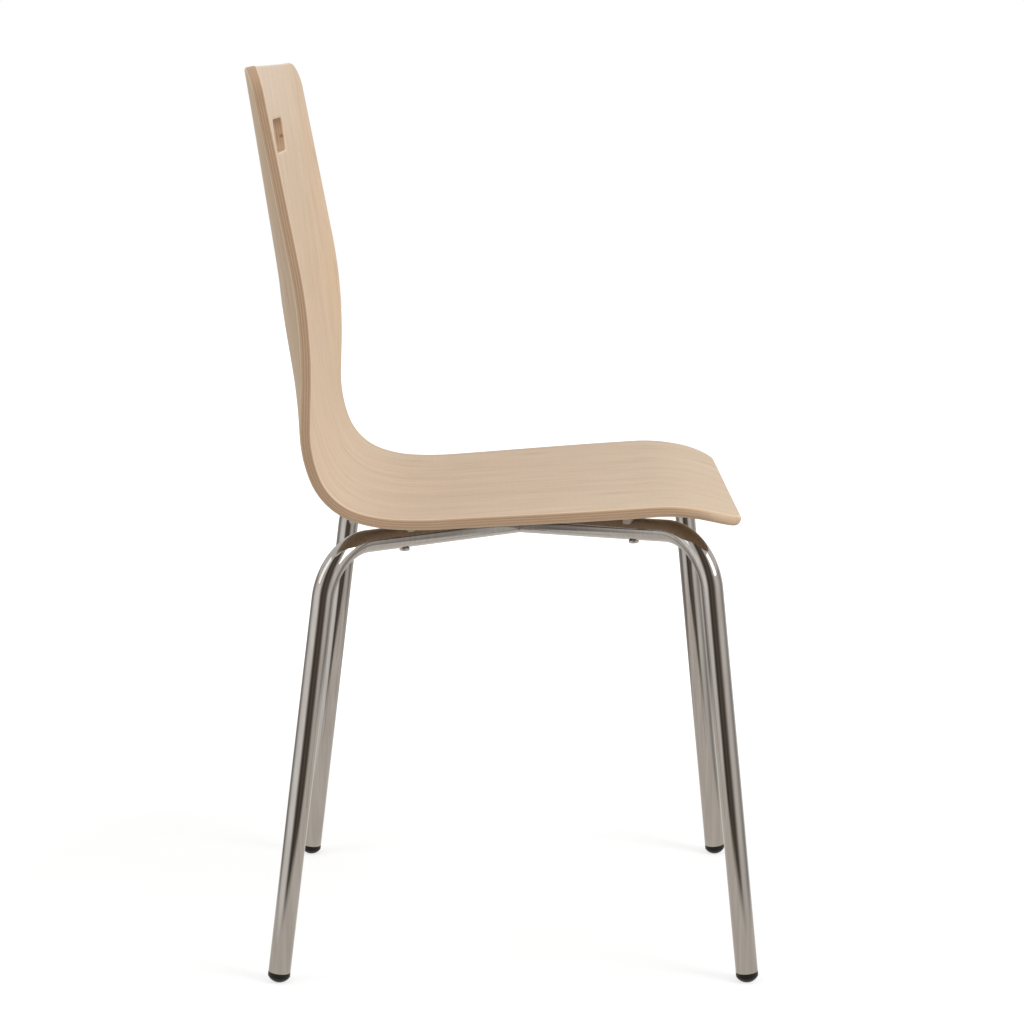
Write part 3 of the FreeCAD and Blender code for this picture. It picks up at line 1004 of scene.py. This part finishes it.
@dataclass
class DomedGlide:
    """Black cap under a tube's end: a dome, a collar flush with the tube and a plug in its bore.

    Its collar shows more height than that of the CAD node, as in the photograph.
    """

    tubes: TubeFrame
    finish: MouldedFinish = MouldedFinish("black_glide", (0.006, 0.006, 0.006, 1), (0.012, 0.011, 0.011, 1), 0.42, 0.2)
    dome_height: float = 6 * MM
    floor_sink: float = 0.6 * MM
    shoulder_break: float = 0.25 * MM
    plug_length: float = 10 * MM
    plug_clearance: float = 0.1 * MM
    dome_steps: int = 16
    segments: int = 96
    sharp_angle: float = 40.0

    def outline(self) -> Array:
        """Profile from the dome's tip to the plug's end, as rows of distance from the axis and height.

        The dome is a spherical cap. At the angle a from its tip, it lies the cap's radius times the
        sine of a from the axis, and the cap's radius times one minus the cosine of a above the tip.
        The cap's radius is the sum of the squares of tube radius and dome height, divided by twice
        the dome height.

        Returns:
            The rows, from the axis round to the axis.
        """
        tube = self.tubes.radius
        cap = (tube**2 + self.dome_height**2) / (2 * self.dome_height)
        turn = np.linspace(0, math.asin(tube / cap), self.dome_steps + 1)
        dome = np.stack([cap * np.sin(turn), cap * (1 - np.cos(turn))], axis=-1)
        top = self.tubes.start_height + self.floor_sink
        plug = tube - self.tubes.wall - self.plug_clearance
        upper = np.array([
            [tube, top - self.shoulder_break],
            [tube - self.shoulder_break, top],
            [plug, top],
            [plug, top + self.plug_length],
            [0.0, top + self.plug_length],
        ])
        return np.concatenate([dome, upper])

    def build(self, corner: Corner, finish: Material) -> Object:
        """One glide: its profile turned round the leg's axis, with the tip pressed flat on the floor.

        Args:
            corner: which leg.
            finish: its material.

        Returns:
            The glide, dressed and riding on the root body.
        """
        foot, knee, _ = self.tubes.points(corner)
        upward = unit(knee - foot)
        aside = unit(np.cross(upward, np.array([0.0, 1.0, 0.0])))
        ahead = np.cross(aside, upward)
        angle = np.linspace(0, 2 * np.pi, self.segments, endpoint=False)[:, None]
        spokes = np.cos(angle) * aside + np.sin(angle) * ahead
        rows = self.outline()[:, None]
        skin = foot + (rows[..., 1:] - self.floor_sink) * upward + rows[..., :1] * spokes
        skin[..., 2] = np.clip(skin[..., 2], 0, None)
        name = "domed_glide_" + corner.tag
        piece = mesh_piece(name, skin.reshape(-1, 3), grid_quads(*skin.shape[:2], around=True))
        piece.data.set_sharp_from_angle(angle=math.radians(self.sharp_angle))
        piece.data.materials.append(finish)
        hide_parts("foot_glide_" + corner.tag)
        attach(piece, ROOT_BODY)
        return piece


# Fittings that stay as CAD nodes


@dataclass
class Fittings:
    """Spacers, screws and inserts: CAD nodes that only get their finishes."""

    pale: MouldedFinish = MouldedFinish("pale_spacer", (0.66, 0.60, 0.52, 1), (0.56, 0.50, 0.42, 1), 0.5)
    zinc: TurnedMetalFinish = TurnedMetalFinish("dark_zinc", (0.60, 0.57, 0.55, 1), (0.46, 0.43, 0.41, 1), 0.5)
    brass: TurnedMetalFinish = TurnedMetalFinish("plain_brass", (0.75, 0.56, 0.26, 1), (0.5, 0.36, 0.16, 1), 0.3)

    def dress(self, nodes: dict[str, Object]) -> list[str]:
        """Gives each fitting its material.

        Args:
            nodes: the frame's CAD nodes by name.

        Returns:
            The names of the nodes dressed.
        """
        wanted = {"saddle_spacer": self.pale, "seat_screws": self.zinc, "threaded_inserts": self.brass}
        dressed = []
        for start, finish in wanted.items():
            material = finish.material()
            for name in [name for name in nodes if name.startswith(start)]:
                nodes[name].data.materials.clear()
                nodes[name].data.materials.append(material)
                dressed.append(name)
        return dressed


# The studio


@dataclass(frozen=True)
class SoftLight:
    """A soft rectangular light: its place, its width and height in metres, and its power in watts."""

    name: str
    place: tuple[float, float, float]
    sides: tuple[float, float]
    watts: float

    def hang(self) -> None:
        """Hangs the light at its place, looking at the chair's middle."""
        lamp = bpy.data.lights.new(self.name, "AREA")
        lamp.shape = "RECTANGLE"
        lamp.size, lamp.size_y = self.sides
        lamp.energy = self.watts
        holder = linked(self.name, lamp)
        holder.location = self.place
        low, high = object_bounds()
        holder.rotation_euler = ((low + high) / 2 - holder.location).to_track_quat("-Z", "Y").to_euler()


@dataclass
class Studio:
    """Pale floor, soft lights, a reflection ring and mirror floor for the chrome, and the camera.

    The ring's tones are rows of an angle from the camera's side, positive to the image's right, and
    the red, green and blue that the ring shows there.
    """

    floor_half: float = 6.0
    floor_colour: Colour = (0.44, 0.44, 0.44, 1)
    floor_roughness: float = 0.9
    floor_lift: float = 0.70
    floor_fade: Ends = (0.5, 1.3)
    mirror_floor_half: float = 0.7
    mirror_floor_tone: Colour = (0.95, 0.91, 0.86, 1)
    mirror_fade: Ends = (0.47, 0.66)
    sky_level: float = 0.56
    ring_radius: float = 1.55
    ring_heights: Ends = (-0.6, 3.0)
    ring_segments: int = 128
    ring_low: float = -0.3
    ring_low_share: float = 0.8
    skirt_top: float = 0.75
    skirt_edge: float = 0.05
    flag_middle: float = -3.0
    flag_half: float = 26.0
    flag_edge: float = 12.0
    tones: tuple[tuple[float, float, float, float], ...] = (
        (-180, 0.62, 0.58, 0.54), (-140, 0.60, 0.56, 0.53), (-118, 0.36, 0.34, 0.33), (-106, 0.50, 0.48, 0.47),
        (-96, 0.78, 0.76, 0.75), (-86, 1.12, 1.11, 1.11), (-72, 1.34, 1.35, 1.36), (-46, 1.38, 1.38, 1.38),
        (-40, 1.20, 1.19, 1.18), (-36, 0.92, 0.90, 0.88), (-32, 0.58, 0.55, 0.53), (-28, 0.33, 0.30, 0.28),
        (-24, 0.19, 0.165, 0.150), (-19, 0.110, 0.090, 0.075), (-12, 0.115, 0.095, 0.080), (-3, 0.180, 0.155, 0.130),
        (3, 0.175, 0.150, 0.130), (10, 0.130, 0.110, 0.090), (15, 0.140, 0.115, 0.095), (20, 0.200, 0.175, 0.150),
        (25, 0.300, 0.275, 0.250), (31, 0.500, 0.475, 0.450), (36, 0.800, 0.780, 0.740), (42, 1.00, 0.98, 0.94),
        (52, 1.10, 1.08, 1.05), (66, 1.04, 1.02, 0.98), (78, 0.80, 0.79, 0.77), (92, 0.56, 0.55, 0.53),
        (106, 0.52, 0.50, 0.48), (118, 0.84, 0.82, 0.80), (140, 0.95, 0.92, 0.88), (180, 0.62, 0.58, 0.54),
    )
    lights: tuple[SoftLight, ...] = (
        SoftLight("key_softbox", (-2.0, -3.3, 2.3), (1.8, 3.4), 82.0),
        SoftLight("fill_softbox", (-1.0, 2.8, 2.6), (1.6, 2.6), 18.0),
    )
    camera_distance: float = 2466.36 * MM
    camera_height: float = 828.91 * MM
    camera_aside: float = -5.6 * MM
    camera_pitch: float = 9.994
    camera_lens: float = 93.16
    camera_reach: float = 60.0
    sensor: float = 36.0

    def stage_piece(self, name: str, points: Array, quads: Indices, material: Material) -> Object:
        """Makes a piece of the studio, which isn't part of the chair.

        Args:
            name: the piece's name.
            points: one row of x, y, z for each point, in metres.
            quads: one row of four point numbers for each face.
            material: its material.

        Returns:
            The object, marked as stage.
        """
        mesh = bpy.data.meshes.new(name)
        mesh.from_pydata(points.tolist(), [], quads.tolist())
        mesh.materials.append(material)
        piece = linked(name, mesh)
        piece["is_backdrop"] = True
        return piece

    def for_mirrors(self, name: str, points: Array, quads: Indices, nodes: Nodes) -> None:
        """Makes a stage piece that only shines, and that only mirrors see."""
        nodes.surface(Base_Color=BLACK, Specular_IOR_Level=0.0)
        piece = self.stage_piece(name, points, quads, nodes.owner)
        piece.visible_camera = piece.visible_diffuse = piece.visible_shadow = piece.visible_transmission = False

    def square(self, half: float) -> tuple[Array, Indices]:
        """Corners and face of a flat square on the ground, from half its side."""
        corners = np.array([[-half, -half, 0], [half, -half, 0], [half, half, 0], [-half, half, 0]])
        return corners, np.arange(4)[None]

    def floor(self) -> None:
        """A wide floor that keeps the shadow and goes to plain white away from the chair."""
        nodes = Nodes(bpy.data.materials.new("pale_floor"))
        lift = nodes.span(nodes.from_origin(), *self.floor_fade, self.floor_lift, 1.0)
        path = nodes.add("LightPath").outputs
        seen = nodes.math("MAXIMUM", path["Is Camera Ray"], path["Is Transmission Ray"])
        nodes.surface(Base_Color=self.floor_colour, Roughness=self.floor_roughness, Specular_IOR_Level=0.0)
        nodes.surface(Emission_Color=WHITE, Emission_Strength=nodes.math("MULTIPLY", seen, lift))
        piece = self.stage_piece("studio_floor", *self.square(self.floor_half), nodes.owner)
        piece.visible_glossy = False

    def mirror_floor(self) -> None:
        """The pale ground round the chair as only mirrors see it, thinning out at its edge."""
        nodes = Nodes(bpy.data.materials.new("mirror_floor_tone"))
        thinning = nodes.span(nodes.from_origin(), *self.mirror_fade, 1.0, 0.0)
        nodes.surface(Emission_Color=self.mirror_floor_tone, Emission_Strength=1.0, Alpha=thinning)
        self.for_mirrors("mirror_floor", *self.square(self.mirror_floor_half), nodes)

    def ring(self) -> None:
        """A ring that only mirrors see, with its tones round the chair.

        It is a cylinder round the origin: x and y are the radius times the cosine and sine of an
        angle, and z runs from the lower to the upper height. The angles of the tones are taken from
        the camera's side, and the tones get darker towards the bottom. Above the skirt only a dark
        flag on the camera's side stays, and the rest is clear.
        """
        angle = np.linspace(0, 2 * np.pi, self.ring_segments, endpoint=False)
        circle = np.stack([np.cos(angle), np.sin(angle)], axis=-1) * self.ring_radius
        rows = [np.column_stack([circle, np.full(len(angle), height)]) for height in self.ring_heights]
        nodes = Nodes(bpy.data.materials.new("ring_tones"))
        parts = nodes.add("SeparateXYZ", in_0=nodes.place()).outputs
        turn = nodes.math("ARCTAN2", nodes.math("MULTIPLY", parts[1], -1.0), nodes.math("MULTIPLY", parts[0], -1.0))
        stops = [((degrees + 180) / 360, (*tone, 1)) for degrees, *tone in self.tones]
        colour = nodes.ramp(nodes.span(turn, -math.pi, math.pi), stops)
        strength = nodes.span(parts[2], self.ring_low, 0.0, self.ring_low_share, 1.0)
        aside = nodes.gap(nodes.math("DEGREES", turn), self.flag_middle)
        flag = nodes.span(aside, self.flag_half, self.flag_half + self.flag_edge, 1.0, 0.0)
        skirt = nodes.span(parts[2], self.skirt_top, self.skirt_top + self.skirt_edge, 1.0, 0.0)
        nodes.surface(Emission_Color=colour, Emission_Strength=strength, Alpha=nodes.math("MAXIMUM", flag, skirt))
        quads = grid_quads(len(rows), self.ring_segments, around=True)
        self.for_mirrors("reflection_ring", np.concatenate(rows), quads, nodes)

    def world(self) -> None:
        """White where it is seen directly or mirrored, and a softer white as light."""
        world = bpy.data.worlds.new("studio_white")
        bpy.context.scene.world = world
        nodes = Nodes(world, "Background")
        path = nodes.add("LightPath").outputs
        seen = nodes.math("MAXIMUM", path["Is Camera Ray"], path["Is Glossy Ray"])
        seen = nodes.math("MAXIMUM", seen, path["Is Transmission Ray"])
        nodes.surface(Color=WHITE, Strength=nodes.span(seen, 0.0, 1.0, self.sky_level, 1.0))

    def camera(self) -> None:
        """The camera at the photograph's place: level with the seat's side, looking down a little."""
        data = bpy.data.cameras.new("photo_camera")
        data.lens = self.camera_lens
        data.sensor_width = self.sensor
        data.clip_end = self.camera_reach
        holder = linked("photo_camera", data)
        holder.location = (-self.camera_distance, self.camera_aside, self.camera_height)
        holder.rotation_euler = (math.radians(90 - self.camera_pitch), 0, math.radians(-90))
        bpy.context.scene.camera = holder

    def build(self) -> None:
        """Sets up the floors, the ring, the world, the lights and the camera."""
        self.floor()
        self.mirror_floor()
        self.ring()
        self.world()
        for light in self.lights:
            light.hang()
        self.camera()
        bpy.context.scene.view_settings.view_transform = "Standard"


# Assembly


def main() -> None:
    """Builds every piece in order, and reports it."""
    logging.basicConfig(level=logging.INFO, format="%(name)s: %(message)s")
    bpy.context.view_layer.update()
    shell = PlywoodShell().build()
    LOG.info("%s: %d faces", shell.name, len(shell.data.polygons))
    tubes = TubeFrame()
    chrome = ChromeFinish().material()
    glides = DomedGlide(tubes)
    black = glides.finish.material()
    for corner in Corner:
        for piece in (tubes.build(corner, chrome), glides.build(corner, black)):
            LOG.info("%s: %d faces", piece.name, len(piece.data.polygons))
    for name in Fittings().dress(frame["nodes"]):
        LOG.info("%s: CAD node dressed", name)
    Studio().build()
    LOG.info("studio set up")
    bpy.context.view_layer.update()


if __name__ == "__main__":
    main()
